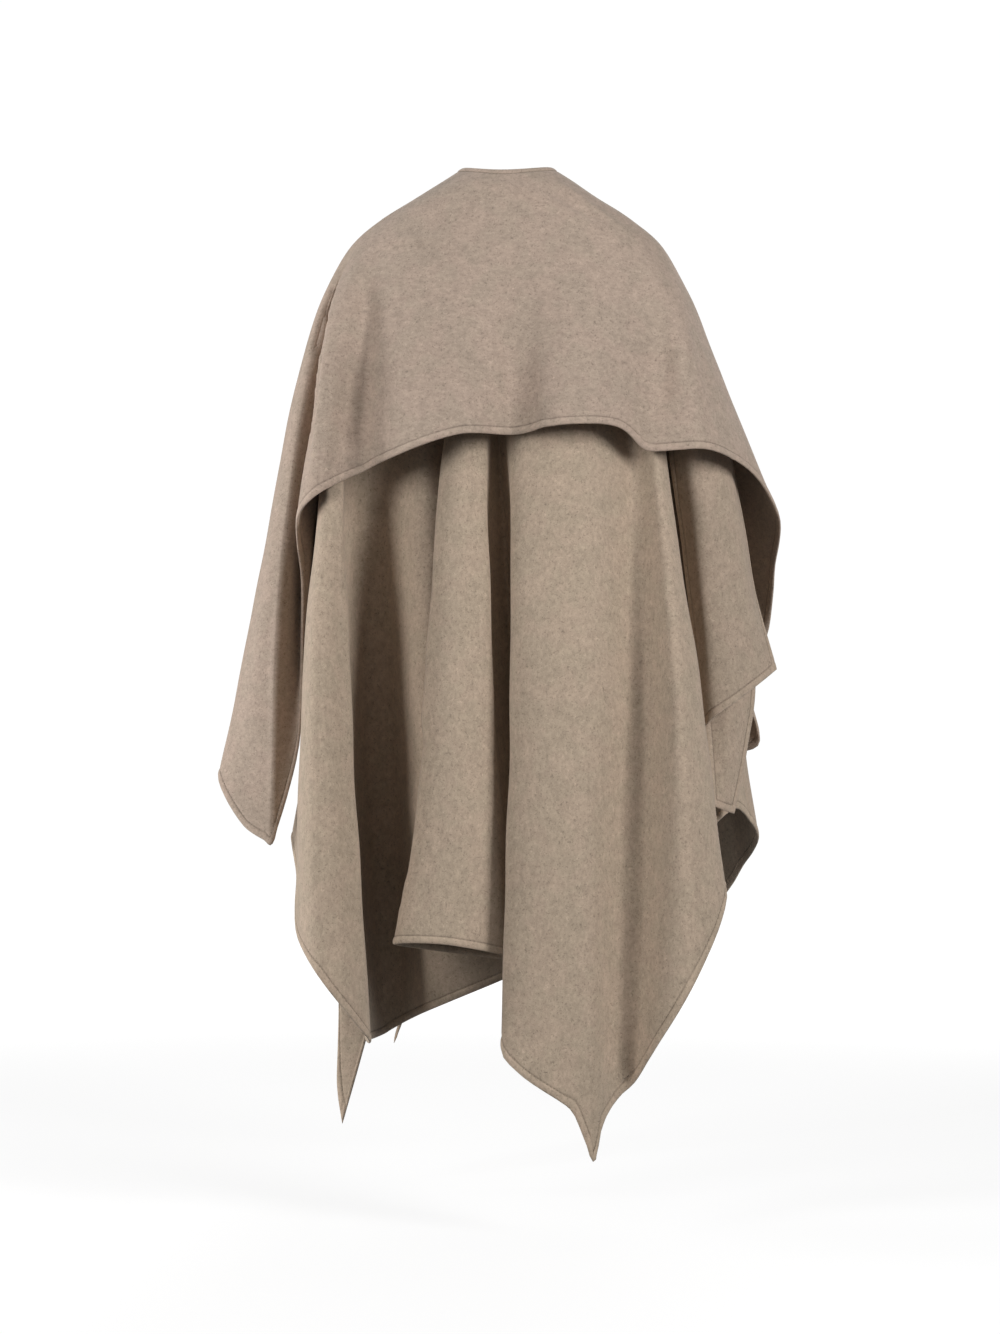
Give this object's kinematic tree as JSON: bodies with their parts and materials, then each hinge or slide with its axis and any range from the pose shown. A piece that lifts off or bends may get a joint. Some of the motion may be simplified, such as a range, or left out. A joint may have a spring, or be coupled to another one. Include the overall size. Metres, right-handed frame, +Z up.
{
  "type": "cape",
  "caption": "Wrapped wool cape with a short draped shawl over a long body that falls in deep folds to pointed corners, hollow as worn, open at the neck, front and hem.",
  "frame": {"origin": "base of the wearer's neck, on the line between the shoulders that hold the cape up", "axes": "+Z up, +Y the way the wearer faces, +X to the wearer's right"},
  "size_m": [0.7303, 0.4694, 1.2589],
  "materials": {
    "wool_body": "matt double-faced wool, taupe melange",
    "wool_side": "matt double-faced wool, taupe melange",
    "wool_shawl": "matt double-faced wool, taupe melange"
  },
  "bodies": {
    "root": {"back_panel": "wool_body", "front_left": "wool_body", "front_right": "wool_body", "wing_left": "wool_side", "wing_right": "wool_side", "side_drape_right": "wool_side", "shawl": "wool_shawl"}
  },
  "joints": []
}
